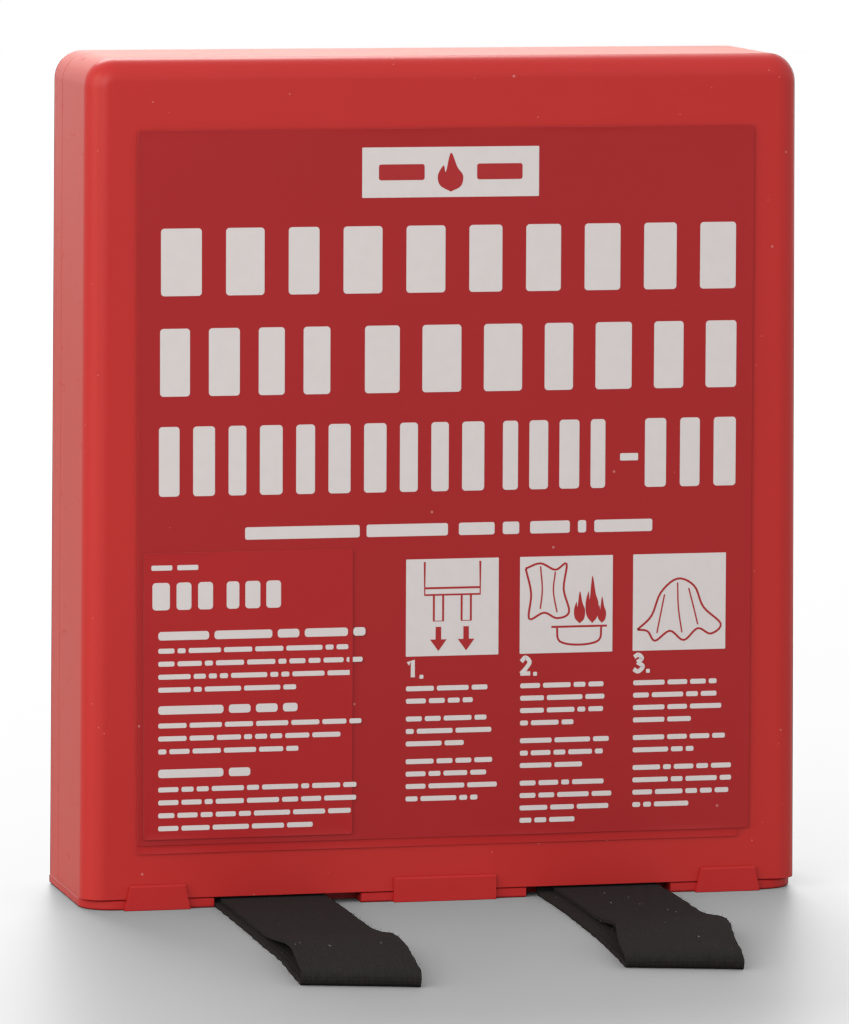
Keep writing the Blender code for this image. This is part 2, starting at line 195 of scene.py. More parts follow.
# %% Red plastic finishes
def red_plastic(name, deep, bright, gloss):
    finish = Finish(name)
    where = finish.place()
    clouds = finish.noise(where, 9.0, 4.0, 0.55)
    flow = finish.noise(finish.place((18.0, 18.0, 3.0)), 1.0, 3.0)
    skin = finish.noise(where, 1500.0, 2.0)
    swell = finish.noise(where, 22.0, 2.0)
    rubbed = finish.ramp(finish.noise(finish.place((60.0, 60.0, 260.0)), 1.0, 4.0, 0.7), 0.60, 0.74)
    dust = finish.specks(where, 210.0, 0.10, 0.055) + finish.specks(where, 520.0, 0.13, 0.02)
    colour = finish.tint(paint(*deep), paint(*bright), clouds * 0.6 + flow * 0.4)
    colour = finish.tint(colour, paint(0.70, 0.36, 0.34), dust * 0.45)
    roughness = gloss + 0.06 * clouds + 0.10 * rubbed + 0.25 * dust
    height = skin * 0.10 + swell * 0.75 + rubbed * 0.05 + dust * 0.10
    return finish.wear(colour, roughness, height, 0.0006, 0.32, Specular_IOR_Level=0.30,
                       Subsurface_Weight=0.10, Subsurface_Scale=0.004, Subsurface_Radius=(1.0, 0.25, 0.18))


shell_red = red_plastic("shell_red_plastic", (0.468, 0.0225, 0.0215), (0.538, 0.0280, 0.0260), 0.34)
lid_red = red_plastic("lid_red_plastic", (0.440, 0.0175, 0.0185), (0.508, 0.0225, 0.0225), 0.36)

# %% [markdown]
# ## Printed film, ink and steel
# The labels are self-adhesive film printed dark red. Film lies flatter and glossier than the plastic
# below it, but traps small blisters and takes fine handling marks. The white ink is slightly uneven.

# %% Label, ink and pin finishes
def label_film_finish(name, deep, bright):
    finish = Finish(name)
    where = finish.place()
    clouds = finish.noise(where, 5.0, 3.0)
    blisters = finish.ramp(finish.noise(where, 75.0, 2.0), 0.55, 0.85)
    scuffs = finish.ramp(finish.noise(finish.place((40.0, 40.0, 420.0)), 1.0, 4.0, 0.7), 0.62, 0.72)
    dust = finish.specks(where, 180.0, 0.085, 0.05)
    colour = finish.tint(paint(*deep), paint(*bright), clouds)
    colour = finish.tint(colour, paint(0.62, 0.30, 0.29), dust * 0.5)
    roughness = 0.30 + 0.08 * clouds + 0.14 * scuffs + 0.2 * dust
    height = blisters * 0.5 + finish.noise(where, 16.0, 2.0) * 1.6 + scuffs * 0.04
    return finish.wear(colour, roughness, height, 0.0004, 0.30, Specular_IOR_Level=0.30)


def ink_finish(name, colour, uneven):
    finish = Finish(name)
    where = finish.place()
    thin = finish.noise(where, 260.0, 3.0)
    pinholes = finish.specks(where, 420.0, 0.10, 0.04)
    shade = finish.tint(paint(*colour), paint(*(c * uneven for c in colour)),
                        thin * 0.6 + pinholes * 0.5)
    return finish.wear(shade, 0.42 + 0.12 * thin, thin, 0.00004, 0.3, Specular_IOR_Level=0.3)


def steel_finish():
    finish = Finish("drawn_wire_steel")
    lines = finish.noise(finish.place((60.0, 9000.0, 9000.0)), 1.0, 3.0)
    colour = finish.tint(paint(0.42, 0.42, 0.43), paint(0.62, 0.61, 0.60), lines)
    return finish.wear(colour, 0.22 + 0.2 * lines, lines, 0.00005, 0.4, Metallic=1.0)


label_red = label_film_finish("label_red_film", (0.345, 0.0138, 0.0170), (0.402, 0.0172, 0.0210))
film_red = label_film_finish("under_film_red", (0.420, 0.0150, 0.0160), (0.480, 0.0190, 0.0195))
sticker_red = label_film_finish("sticker_red_film", (0.378, 0.0135, 0.0168), (0.436, 0.0170, 0.0208))
white_ink = ink_finish("white_print_ink", (0.70, 0.68, 0.70), 0.88)
red_ink = ink_finish("red_print_ink", (0.36, 0.020, 0.024), 1.25)
# The film's cut rim is painted pale red: a painted highlight along the edge of each film.
edge_painted_highlight = ink_finish("film_edge_painted_highlight", (0.62, 0.20, 0.19), 0.8)
pin_steel = steel_finish()

# %% [markdown]
# ## Webbing, thread and glass cloth
# The tapes are brushed black webbing: a coarse plain weave under a felt of fine fibres, which is why
# they look matt and soft. The blanket is glass cloth, a tight smooth weave with a silky sheen.

# %% Cloth finishes
CLOTH, HEM = 1.2, 0.020                    # side of the blanket and width of its hem, metres
WARP, WEFT, GLASS_YARN = 0.0017, 0.0021, 0.0011


def webbing_finish():
    finish = Finish("brushed_black_webbing")
    across, along = finish.cloth()
    column = across / WARP
    lift = (column * pi).wave() * ((along / WEFT + column.whole() * 0.5) * tau).wave()
    where = finish.place()
    felt = finish.noise(where, 2600.0, 3.0, 0.7)
    tufts = finish.noise(where, 420.0, 3.0)
    lint = finish.ramp(finish.noise(finish.place((900.0, 240.0, 900.0)), 1.0, 2.0), 0.74, 0.80)
    colour = finish.tint(paint(0.0068, 0.0065, 0.0068), paint(0.0345, 0.0325, 0.0340),
                         felt * 0.6 + tufts * 0.4)
    colour = finish.tint(colour, paint(0.20, 0.18, 0.18), lint * 0.35)
    return finish.wear(colour, 0.95, abs(lift) * 0.5 + felt * 0.7 + tufts * 0.8, 0.0006, 0.8,
                       Specular_IOR_Level=0.05, Sheen_Weight=0.015, Sheen_Roughness=0.6)


def glass_cloth_finish():
    finish = Finish("woven_glass_cloth")
    across, along = finish.cloth()
    u, v = across / GLASS_YARN, along / GLASS_YARN
    weave = (u * tau).wave() * (v * tau).wave() + 0.5 * ((u + v) * tau).wave()
    inner = CLOTH / 2 - HEM
    hem = (finish.ramp(abs(across - CLOTH / 2), inner, inner + 0.001)
           + finish.ramp(abs(along - CLOTH / 2), inner, inner + 0.001)) * 0.5
    clouds = finish.noise(finish.place(), 14.0, 3.0)
    colour = finish.tint(paint(0.66, 0.65, 0.60), paint(0.80, 0.79, 0.745),
                         clouds * 0.6 + weave * 0.2 + 0.2)
    colour = finish.tint(colour, paint(0.60, 0.585, 0.53), hem * 0.5)
    return finish.wear(colour, 0.55 + 0.15 * clouds, weave * 0.5 + hem, 0.00018, 0.7, Sheen_Weight=0.3)


def thread_finish():
    finish = Finish("twisted_white_thread")
    plies = finish.noise(finish.place((2400.0, 2400.0, 2400.0)), 1.0, 2.0)
    colour = finish.tint(paint(0.55, 0.53, 0.48), paint(0.80, 0.78, 0.73), plies)
    return finish.wear(colour, 0.7, plies, 0.0001, 0.6)


webbing_black = webbing_finish()
glass_cloth = glass_cloth_finish()
white_thread = thread_finish()
print("finishes:", len(bpy.data.materials))

# %% [markdown]
# ## Skinning rings
# Most of the case is a loft: one outline repeated, slightly changed, from the seam to the flat face.
# A list of equal rings, joined by quads and closed at both ends, gives a body that Booleans accept.

# %% Mesh helpers
def new_piece(name, points, faces, finish=None):
    mesh = bpy.data.meshes.new(name)
    mesh.from_pydata([tuple(p) for p in points], [], faces)
    work = bmesh.new()
    work.from_mesh(mesh)
    bmesh.ops.recalc_face_normals(work, faces=work.faces)
    work.to_mesh(mesh)
    work.free()
    piece = bpy.data.objects.new(name, mesh)
    scene.collection.objects.link(piece)
    if finish:
        mesh.materials.append(finish)
    return piece


def loft(name, rings, finish=None):
    count = len(rings[0])
    faces = [tuple(range(count)), tuple(range((len(rings) - 1) * count, len(rings) * count))]
    for r in range(len(rings) - 1):
        for k in range(count):
            a, b = r * count + k, r * count + (k + 1) % count
            faces.append((a, b, b + count, a + count))
    return new_piece(name, [p for ring in rings for p in ring], faces, finish)


def draw_out(name, outline, x0, x1, finish=None):
    """A (y, z) outline drawn out along X."""
    return loft(name, [[(x, y, z) for y, z in outline] for x in (x0, x1)], finish)


def block(name, x, y, z):
    return draw_out(name, [(y[0], z[0]), (y[1], z[0]), (y[1], z[1]), (y[0], z[1])], *x)


def curve_yz(cy, cz, radius, start, end, steps):
    angles = [start + (end - start) * k / steps for k in range(steps + 1)]
    return [(cy + radius * cos(a), cz + radius * sin(a)) for a in angles]


def rod(name, x0, x1, y, z, radius, finish=None):
    return draw_out(name, curve_yz(y, z, radius, 0.0, tau, 40)[:-1], x0, x1, finish)


# %% Booleans that are applied at once
def freeze(piece):
    """Replace a piece's mesh by what its modifiers make of it."""
    graph = bpy.context.evaluated_depsgraph_get()
    made = bpy.data.meshes.new_from_object(piece.evaluated_get(graph))
    piece.modifiers.clear()
    piece.data = made
    return piece


def work_on(piece, operation, *others):
    for other in others:
        step = piece.modifiers.new("step", "BOOLEAN")
        step.object, step.operation, step.solver = other, operation, "EXACT"
        freeze(piece)
        bpy.data.objects.remove(other)
    return piece


def soften(piece, width):
    """Break every sharp edge with a small round, as a mould does, and keep the flat faces' shading flat."""
    edge = piece.modifiers.new("edge", "BEVEL")
    edge.width, edge.segments, edge.limit_method, edge.angle_limit = width, 2, "ANGLE", radians(28)
    edge.miter_outer, edge.use_clamp_overlap = "MITER_ARC", True
    freeze(piece)
    piece.data.shade_smooth()
    piece.data.set_sharp_from_angle(angle=0.6)
    level = piece.modifiers.new("level", "WEIGHTED_NORMAL")
    level.keep_sharp, level.weight = True, 100
    return freeze(piece)


# %% [markdown]
# ## The case's outline
# Seen from the front each shell is an arch: straight sides that draw in by 2 mm over their height so
# the moulding leaves its mould, two rounded top corners and an open foot. Rolling the arch inwards on
# a quarter circle makes the large soft edge round the face.

# %% Outline of the case
low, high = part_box("front_shell")
CASE_TOP, CASE_FOOT, FACE_Y, SEAM_Y = high.z, low.z, low.y, high.y
BACK_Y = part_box("back_shell")[1].y
HALF_FOOT, HALF_TOP = 0.1306, 0.1286
WALL, CORNER, FACE_ROUND, BACK_ROUND, INSIDE_ROUND = 0.0025, 0.010, 0.008, 0.007, 0.0045
GAP = 0.0003


def half_width(z):
    return HALF_FOOT + (HALF_TOP - HALF_FOOT) * z / CASE_TOP


def arch(y, inset, foot, steps=12):
    radius = max(CORNER - inset, 0.002)
    spring = CASE_TOP - inset - radius
    centre = half_width(spring) - inset - radius
    points = [(-(half_width(foot) - inset), y, foot)]
    for side, start in ((-1, pi), (1, pi / 2)):
        for k in range(steps + 1):
            a = start - k * pi / 2 / steps
            points.append((side * centre + radius * cos(a), y, spring + radius * sin(a)))
    return points + [(half_width(foot) - inset, y, foot)]


def rolled_face(end_y, inset, roll, foot, steps=12):
    side = 1 if end_y > 0 else -1
    return [arch(end_y - side * roll * (1 - sin(a)), inset + roll * (1 - cos(a)), foot)
            for a in (k * pi / 2 / steps for k in range(steps + 1))]


print("case is", round(2000 * HALF_FOOT), "mm wide at its foot and", round(1000 * CASE_TOP), "mm high")

# %% [markdown]
# ## Front shell
# The deeper half. It is the arch rolled onto the face, hollowed by the same arch one wall thickness
# smaller. Its back edge and its foot get a small round, which is what catches the light along a seam.

# %% Make the front shell
front_shell = loft("front_shell_moulding", [arch(SEAM_Y, 0, CASE_FOOT)]
                   + rolled_face(FACE_Y, 0, FACE_ROUND, CASE_FOOT), shell_red)
work_on(front_shell, "DIFFERENCE", loft("room", [arch(SEAM_Y + 0.01, WALL, -0.02)]
                                        + rolled_face(FACE_Y + WALL, WALL, INSIDE_ROUND, -0.02)))
soften(front_shell, 0.0005)
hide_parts("front_shell")
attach(front_shell, "housing")
print("front shell:", len(front_shell.data.polygons), "faces")

# %% [markdown]
# ## Back shell
# The shallow half has the parts that a wall case needs: a tongue that snaps inside the front shell,
# four ribs that keep the cloth off the screw heads, two keyholes to hang it by, and the hinge lugs.

# %% Make the back shell
HINGE_Y, HINGE_Z, HINGE_R, BORE = 0.0328, 0.0022, 0.0022, 0.0013
PIN_IN, PIN_OUT, LUG = 0.080, 0.104, 0.006
TONGUE_DEPTH, TONGUE_IN = 0.004, 0.0040                 # how far the tongue reaches in, its inner face
RIB_X, RIB_WIDE, RIB_FRONT, RIB_SPAN = (-0.084, -0.028, 0.028, 0.084), 0.002, 0.0158, (0.045, 0.272)
BELOW = -0.02                                           # cutters start well below the foot
join_y, tongue_foot = SEAM_Y + GAP, CASE_FOOT + 0.0005
tongue = [arch(y, WALL + GAP, tongue_foot) for y in (SEAM_Y - TONGUE_DEPTH, join_y)]
back_shell = loft("back_shell_moulding", tongue + [arch(join_y, 0, CASE_FOOT)]
                  + rolled_face(BACK_Y, 0, BACK_ROUND, CASE_FOOT), shell_red)
work_on(back_shell, "DIFFERENCE",
        loft("room", [arch(SEAM_Y - 0.01, TONGUE_IN, BELOW), arch(SEAM_Y + 0.004, TONGUE_IN, BELOW),
                      arch(SEAM_Y + 0.0055, WALL, BELOW)]
             + rolled_face(BACK_Y - WALL, WALL, INSIDE_ROUND, BELOW)),
        block("heel_relief", (-0.14, 0.14), (0.030, 0.037), (-0.01, CASE_FOOT + 0.0009)))


def keyhole(x, z=0.240, head=0.0048, neck=0.0023, rise=0.011):
    start = pi / 2 + 0.16 * pi
    outline = [(x + head * cos(start + k * 1.68 * pi / 24), z + head * sin(start + k * 1.68 * pi / 24))
               for k in range(25)]
    shoulder = z + sqrt(head ** 2 - neck ** 2) + 0.001
    outline += [(x + neck, shoulder)]
    outline += [(x + neck * cos(k * pi / 12), z + rise + neck * sin(k * pi / 12)) for k in range(13)]
    outline += [(x - neck, shoulder)]
    return loft("keyhole", [[(px, y, pz) for px, pz in outline] for y in (BACK_Y - 0.006, BACK_Y + 0.004)])


for x in RIB_X:
    work_on(back_shell, "UNION", block("rib", (x - RIB_WIDE / 2, x + RIB_WIDE / 2),
                                       (RIB_FRONT, BACK_Y - WALL / 2), RIB_SPAN))
for side in (-1, 1):
    for inner in (PIN_IN, PIN_OUT - LUG):
        lug = curve_yz(HINGE_Y, HINGE_Z, HINGE_R, pi, tau, 16)
        lug += [(BACK_Y, 0.0080), (BACK_Y - WALL + 0.0004, 0.0080), (HINGE_Y - HINGE_R, 0.0062)]
        work_on(back_shell, "UNION", draw_out("lug", lug, side * inner, side * (inner + LUG)))
    bore = rod("bore", side * (PIN_IN - 0.002), side * (PIN_OUT + 0.002), HINGE_Y, HINGE_Z, BORE)
    work_on(back_shell, "DIFFERENCE", bore, keyhole(side * 0.056))
soften(back_shell, 0.0004)
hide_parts("back_shell")
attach(back_shell, "housing")
print("back shell:", len(back_shell.data.polygons), "faces")

# %% [markdown]
# ## Bottom lid
# A shallow tray. Its rim shows as a thin band below the shells, set in by 1 mm, with two notches for
# the tapes. Three tabs on the front edge clip over the shell: a long one in the middle, two short ones
# with slanted ends. At the back a round heel carries the hinge knuckles.

# %% Make the lid
def tray(z, inset, back_y, corner=0.013, steps=16):
    radius = max(corner - inset, 0.002)
    half, front = half_width(0) - inset, FACE_Y + inset
    points = [(half, back_y, z), (-half, back_y, z)]
    for side, start in ((-1, pi), (1, 1.5 * pi)):
        for k in range(steps + 1):
            a = start + k * pi / 2 / steps
            points.append((side * (half - radius) + radius * cos(a), front + radius + radius * sin(a), z))
    return points


def clip_tab(x, foot, head, rim=0.0033, top=0.0088, front=-0.0368):
    back = FACE_Y - GAP
    outline = [(front, 0.0), (-0.0335, 0.0), (-0.0335, rim), (back, rim), (back, top), (front + 0.0005, top),
               (front, top - 0.0005)]
    return loft("tab", [[(x + side * (foot + (head - foot) * z / top), y, z) for y, z in outline]
                        for side in (-1, 1)])


LID_BACK, COLLAR_BACK, RIM_TOP, COLLAR_TOP, PLATE = 0.0315, 0.0305, 0.0034, 0.0080, 0.0020
NOTCH_X, NOTCH_Y, NOTCH_Z = (0.0301, 0.0835), (-0.040, -0.024), (-0.005, 0.012)
lid = loft("bottom_lid_moulding", [tray(0.0, 0.0009, LID_BACK), tray(0.0006, 0.0003, LID_BACK),
                                   tray(0.0029, 0.0003, LID_BACK), tray(RIM_TOP, 0.0007, LID_BACK),
                                   tray(RIM_TOP, 0.0031, COLLAR_BACK), tray(COLLAR_TOP, 0.0033, COLLAR_BACK)],
           lid_red)
work_on(lid, "DIFFERENCE", loft("tray_room", [tray(z, 0.0048, 0.045) for z in (PLATE, 0.012)]),
        block("collar_end", (-0.14, 0.14), (0.006, 0.045), (0.0035, 0.012)))
for side in (-1, 1):
    work_on(lid, "DIFFERENCE", block("notch", sorted(side * x for x in NOTCH_X), NOTCH_Y, NOTCH_Z))
    for inner in (PIN_IN, PIN_OUT - LUG):
        span = sorted((side * (inner - GAP), side * (inner + LUG + GAP)))
        gap_y = (HINGE_Y - HINGE_R - 0.0004, 0.040)
        work_on(lid, "DIFFERENCE", block("lug_gap", span, gap_y, NOTCH_Z))
knuckle = (PIN_IN + LUG + GAP, PIN_OUT - LUG - GAP)
for span in ((-0.123, -PIN_OUT - GAP), (-knuckle[1], -knuckle[0]), (-PIN_IN + GAP, PIN_IN - GAP), knuckle,
             (PIN_OUT + GAP, 0.123)):
    work_on(lid, "UNION", rod("heel", *span, HINGE_Y, HINGE_Z, HINGE_R))
for x, foot, head in ((-0.1042, 0.0118, 0.0099), (0.0, 0.0186, 0.0186), (0.1042, 0.0118, 0.0099)):
    work_on(lid, "UNION", clip_tab(x, foot, head))
for side in (-1, 1):
    bore = rod("bore", side * (knuckle[0] - GAP), side * (knuckle[1] + GAP), HINGE_Y, HINGE_Z, BORE)
    work_on(lid, "DIFFERENCE", bore)
soften(lid, 0.0003)
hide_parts("bottom_lid")
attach(lid, "lid")
for name in ("hinge_pin_left", "hinge_pin_right"):
    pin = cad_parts[name]
    pin.data.materials.clear()
    pin.data.materials.append(pin_steel)
print("lid:", len(lid.data.polygons), "faces")

# %% [markdown]
# ## The films on the face
# Three films are stuck on one another: a plain one, the printed main label, and a small sticker. Real
# film never lies dead flat: its rim lifts a hair here and there, which catches some light along its edge.
# So each one is a fine grid with rounded corners whose outermost millimetres wander forward a little.
# Most of the bright edge is painted: the film's cut rim gets a pale red as a painted highlight.

# %% Stick on the labels
def film(name, node, finish, seed):
    (left, front, foot), (right, back, top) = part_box(node)
    wide, tall = right - left, top - foot
    columns, rows, round_corner = 90, 90, 0.0009
    bias = [0.5 - 0.5 * cos(pi * k / columns) for k in range(columns + 1)]
    points = []
    for j in range(rows + 1):
        for i in range(columns + 1):
            x, z = left + wide * bias[i], foot + tall * bias[j]
            dx, dz = min(x - left, right - x), min(z - foot, top - z)
            if dx < round_corner and dz < round_corner:          # pull the corner square onto its round
                reach = max(round_corner - dx, round_corner - dz)
                long = sqrt((round_corner - dx) ** 2 + (round_corner - dz) ** 2) or 1.0
                pull = 1 - reach / long
                x += (round_corner - dx) * pull * (1 if x < left + wide / 2 else -1)
                z += (round_corner - dz) * pull * (1 if z < foot + tall / 2 else -1)
            rim = max(0.0, 1 - min(dx, dz) / 0.0026) ** 2
            lift = rim * max(0.0, noise.noise(Vector((x * 28 + seed, z * 28, seed))) + 0.25) * 0.00022
            points.append((x, front - lift, z))
    step = columns + 1
    faces = [(j * step + i, j * step + i + 1, (j + 1) * step + i + 1, (j + 1) * step + i)
             for j in range(rows) for i in range(columns)]
    piece = new_piece(name, points, faces, finish)
    piece.data.flip_normals()
    # The rim faces take the second finish, the pale painted highlight on the film's cut edge.
    piece.data.materials.append(edge_painted_highlight)
    thick = piece.modifiers.new("thickness", "SOLIDIFY")
    thick.thickness, thick.offset = back - front, 1.0 if piece.data.polygons[0].normal.y > 0 else -1.0
    thick.material_offset_rim = 1
    freeze(piece)
    piece.data.shade_smooth()
    piece.data.set_sharp_from_angle(angle=0.6)
    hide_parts(node)
    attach(piece, "housing")
    return front


film_front = film("under_film", "label_film", film_red, 3.0)
label_front = film("printed_label", "front_label", label_red, 7.0)
sticker_front = film("small_sticker", "type_sticker", sticker_red, 11.0)
print("label fronts at y, mm:", [round(1000 * y, 2) for y in (film_front, label_front, sticker_front)])

# %% [markdown]
# ## The print
# The wording is replaced by the blocks and bars that a designer uses for dummy text: same rows, same
# columns, no words. The three step pictures are new drawings: pull the tapes, hold the cloth in front
# of the fire, leave it covered. Ink is a hair of height, so each print is a flat drawing given 0.03 mm.

# %% A drawing made of flat shapes
INK = 0.00003


class Drawing:
    """Collects flat shapes in millimetres on the face, then turns them into one thin layer of ink."""

    def __init__(self):
        self.points, self.faces = [], []

    def level(self):
        """Overlapping strokes sit a micron apart, so that no two faces share a plane."""
        return 0.0000012 * (len(self.faces) % 9)

    def shape(self, outline):
        start, level = len(self.points), self.level()
        self.points += [(x, level, z) for x, z in outline]
        self.faces.append(tuple(range(start, len(self.points))))

    def bar(self, x0, x1, z0, z1, r=0.4):
        r = min(r, (x1 - x0) / 2, (z1 - z0) / 2)
        corners = ((x1 - r, z1 - r, 0), (x0 + r, z1 - r, 1), (x0 + r, z0 + r, 2), (x1 - r, z0 + r, 3))
        self.shape([(cx + r * cos((q + k / 4) * pi / 2), cz + r * sin((q + k / 4) * pi / 2))
                    for cx, cz, q in corners for k in range(5)])

    def line(self, path, width):
        """A drawn line: a ribbon of quads along a path."""
        path = [Vector(p) for p in path]
        start, level = len(self.points), self.level()
        for k, p in enumerate(path):
            along = (path[min(k + 1, len(path) - 1)] - path[max(k - 1, 0)]).normalized()
            side = Vector((-along.y, along.x)) * width / 2
            self.points += [(q.x, level, q.y) for q in (p + side, p - side)]
        for k in range(len(path) - 1):
            a = start + 2 * k
            self.faces.append((a, a + 1, a + 3, a + 2))

    def print_on(self, name, front, finish, rise=0.00003):
        points = [(x / 1000, front - rise - level, z / 1000) for x, level, z in self.points]
        piece = new_piece(name, points, self.faces, finish)
        for polygon in piece.data.polygons:
            if polygon.normal.y > 0:
                polygon.flip()
        thick = piece.modifiers.new("ink", "SOLIDIFY")
        thick.thickness, thick.offset = INK, 0.0
        freeze(piece)
        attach(piece, "housing")


def curve(points, steps=8):
    """A smooth path through a few points (Catmull-Rom)."""
    p = [Vector(q) for q in points]
    p = [2 * p[0] - p[1]] + p + [2 * p[-1] - p[-2]]
    path = []
    for k in range(1, len(p) - 2):
        for s in range(steps):
            t = s / steps
            path.append(0.5 * (2 * p[k] + (p[k + 1] - p[k - 1]) * t
                               + (2 * p[k - 1] - 5 * p[k] + 4 * p[k + 1] - p[k + 2]) * t * t
                               + (3 * p[k] - p[k - 1] - 3 * p[k + 1] + p[k + 2]) * t ** 3))
    return path + [p[-2]]


chance = np.random.default_rng(41)


def dummy_line(drawing, x0, x1, z, height, letter=1.45):
    """One line of small dummy text: bars as long as words."""
    x = x0
    while x < x1 - letter * 1.5:
        word = min(letter * chance.integers(2, 10), x1 - x)
        drawing.bar(x, x + word, z - height / 2, z + height / 2, height * 0.35)
        x += word + letter * 0.75


def dummy_block(drawing, x0, x1, z, lines, pitch=4.6, height=1.75):
    for k in range(lines):
        end = x0 + (x1 - x0) * (chance.uniform(0.5, 0.8) if k == lines - 1 else chance.uniform(0.86, 1.0))
        dummy_line(drawing, x0, end, z - k * pitch, height)


def dummy_word(drawing, x0, x1, z0, z1, letters, fill=0.80, gap=0.40):
    """A big word: one block for each letter."""
    pitch = (x1 - x0) / letters
    widths = [pitch * chance.uniform(0.9, 1.1) for _ in range(letters)]
    widths = [w * (x1 - x0) / sum(widths) for w in widths]
    middle, half, x = (z0 + z1) / 2, (z1 - z0) * fill / 2, x0
    for w in widths:
        drawing.bar(x, x + w - pitch * gap, middle - half, middle + half, 1.2)
        x += w


# %% Headline, badge and small print
headline = Drawing()
dummy_word(headline, -103.0, 114.0, 213.9, 243.5, 10)
for x0, x1, letters in ((-103.3, -35.5, 4), (-29.8, 114.0, 7)):
    dummy_word(headline, x0, x1, 178.6, 208.4, letters)
for x0, x1, letters in ((-103.7, 18.5, 10), (20.4, 62.0, 4), (72.4, 111.0, 3)):
    dummy_word(headline, x0, x1, 143.3, 174.0, letters)
headline.bar(63.3, 69.9, 156.0, 158.6)
for x0, x1 in ((-72.8, -31.5), (-29.0, 0.5), (4.5, 17.5), (20.5, 26.5), (30.5, 45.0), (48.0, 51.0),
               (54.0, 75.3)):
    headline.bar(x0, x1, 130.6, 135.0, 0.8)
headline.bar(-31.0, 33.0, 250.5, 268.2, 0.3)
headline.print_on("headline_print", label_front, white_ink)

left_print = Drawing()
left_print.bar(-106.5, -99.0, 120.4, 122.2, 0.5)
left_print.bar(-97.2, -89.7, 120.4, 122.2, 0.5)
dummy_word(left_print, -106.1, -82.0, 105.0, 117.4, 3, 0.78, 0.30)
dummy_word(left_print, -79.5, -57.8, 105.0, 117.4, 3, 0.78, 0.30)
for end, z in ((-29.4, 97.2), (-53.9, 70.9), (-70.9, 48.4)):
    dummy_line(left_print, -104.0, end, z, 3.0, 2.6)
for z, lines in ((91.9, 4), (65.4, 3), (42.7, 4)):
    dummy_block(left_print, -104.0, -29.5, z, lines)
left_print.print_on("sticker_print", sticker_front, white_ink)

PICTURES = ((-14.6, 19.1), (26.9, 60.9), (68.4, 102.6))
PICTURE_FOOT, PICTURE_TOP = 87.7, 122.3
right_print = Drawing()
for x0, x1 in PICTURES:
    right_print.bar(x0, x1, PICTURE_FOOT, PICTURE_TOP, 0.2)
NUMERALS = (([(0.10, 0.80), (0.42, 1.0), (0.42, 0.0)],),
            (curve([(0.08, 0.76), (0.34, 1.0), (0.62, 0.74), (0.40, 0.38), (0.06, 0.04)]),
             [(0.02, 0.05), (0.66, 0.05)]),
            (curve([(0.08, 0.86), (0.34, 1.0), (0.58, 0.78), (0.28, 0.55)]),
             curve([(0.28, 0.55), (0.64, 0.30), (0.34, 0.0), (0.04, 0.14)])))
for (x0, x1), lines in zip(PICTURES, NUMERALS):
    for path in lines:
        right_print.line([(x0 + 0.2 + 5.6 * u, 80.3 + 6.0 * v) for u, v in path], 1.5)
    right_print.bar(x0 + 5.0, x0 + 6.4, 79.7, 81.1, 0.3)
for x0, x1, counts in ((-14.5, 19.0, (2, 3, 4)), (27.2, 61.5, (4, 3, 4)), (68.7, 106.0, (4, 2, 4))):
    z = 76.2
    for lines in counts:
        dummy_block(right_print, x0, x1, z, lines, 4.45)
        z -= lines * 4.45 + 1.9
right_print.print_on("column_print", label_front, white_ink)

# %% Three pictures and a badge
pictures = Drawing()


def in_picture(k, points):
    x0, x1 = PICTURES[k]
    return [(x0 + (x1 - x0) * u, PICTURE_FOOT + (PICTURE_TOP - PICTURE_FOOT) * v) for u, v in points]


def ring_of(points):
    """A smooth closed outline."""
    return curve(list(points) + [points[0]], 6)[:-1]


FLAME = [(0.50, 0.00), (0.20, 0.16), (0.14, 0.42), (0.30, 0.66), (0.36, 0.50), (0.50, 0.98), (0.68, 0.62),
         (0.84, 0.40), (0.78, 0.14)]


def flame(k, u, v, wide, tall):
    pictures.shape(ring_of(in_picture(k, [(u + wide * a, v + tall * b) for a, b in FLAME])))


PEN = 0.75
for path in ([(0.20, 0.97), (0.20, 0.63), (0.80, 0.63), (0.80, 0.97)], [(0.20, 0.70), (0.80, 0.70)]):
    pictures.line(in_picture(0, path), PEN)
for u in (0.35, 0.65):
    pictures.line(in_picture(0, [(u - 0.05, 0.63), (u - 0.05, 0.36), (u + 0.05, 0.36),
                                 (u + 0.05, 0.63)]), PEN)
    pictures.shape(in_picture(0, [(u - 0.03, 0.30), (u + 0.03, 0.30), (u + 0.03, 0.17), (u + 0.09, 0.17),
                                  (u, 0.05), (u - 0.09, 0.17), (u - 0.03, 0.17)]))
cloth = [(0.06, 0.88), (0.22, 0.93), (0.38, 0.86), (0.50, 0.92), (0.47, 0.66), (0.53, 0.42), (0.40, 0.36),
         (0.26, 0.42), (0.10, 0.36), (0.12, 0.62), (0.06, 0.88)]
pictures.line(in_picture(1, curve(cloth, 5)), PEN)
for fold in ([(0.22, 0.90), (0.24, 0.66), (0.22, 0.46)], [(0.38, 0.84), (0.36, 0.64), (0.40, 0.42)]):
    pictures.line(in_picture(1, curve(fold, 5)), PEN * 0.7)
pictures.line(in_picture(1, [(0.34, 0.27), (0.94, 0.27)]), PEN)
pan = [(0.40, 0.27), (0.43, 0.12), (0.64, 0.08), (0.85, 0.12), (0.88, 0.27)]
pictures.line(in_picture(1, curve(pan, 5)), PEN)
for u, v, wide, tall in ((0.56, 0.30, 0.17, 0.34), (0.68, 0.30, 0.20, 0.50), (0.82, 0.30, 0.13, 0.28)):
    flame(1, u, v, wide, tall)
heap = [(0.05, 0.22), (0.20, 0.36), (0.30, 0.60), (0.48, 0.74), (0.66, 0.66), (0.76, 0.44), (0.95, 0.26),
        (0.84, 0.16), (0.70, 0.22), (0.55, 0.10), (0.40, 0.20), (0.24, 0.10), (0.16, 0.20), (0.05, 0.22)]
pictures.line(in_picture(2, curve(heap, 5)), PEN)
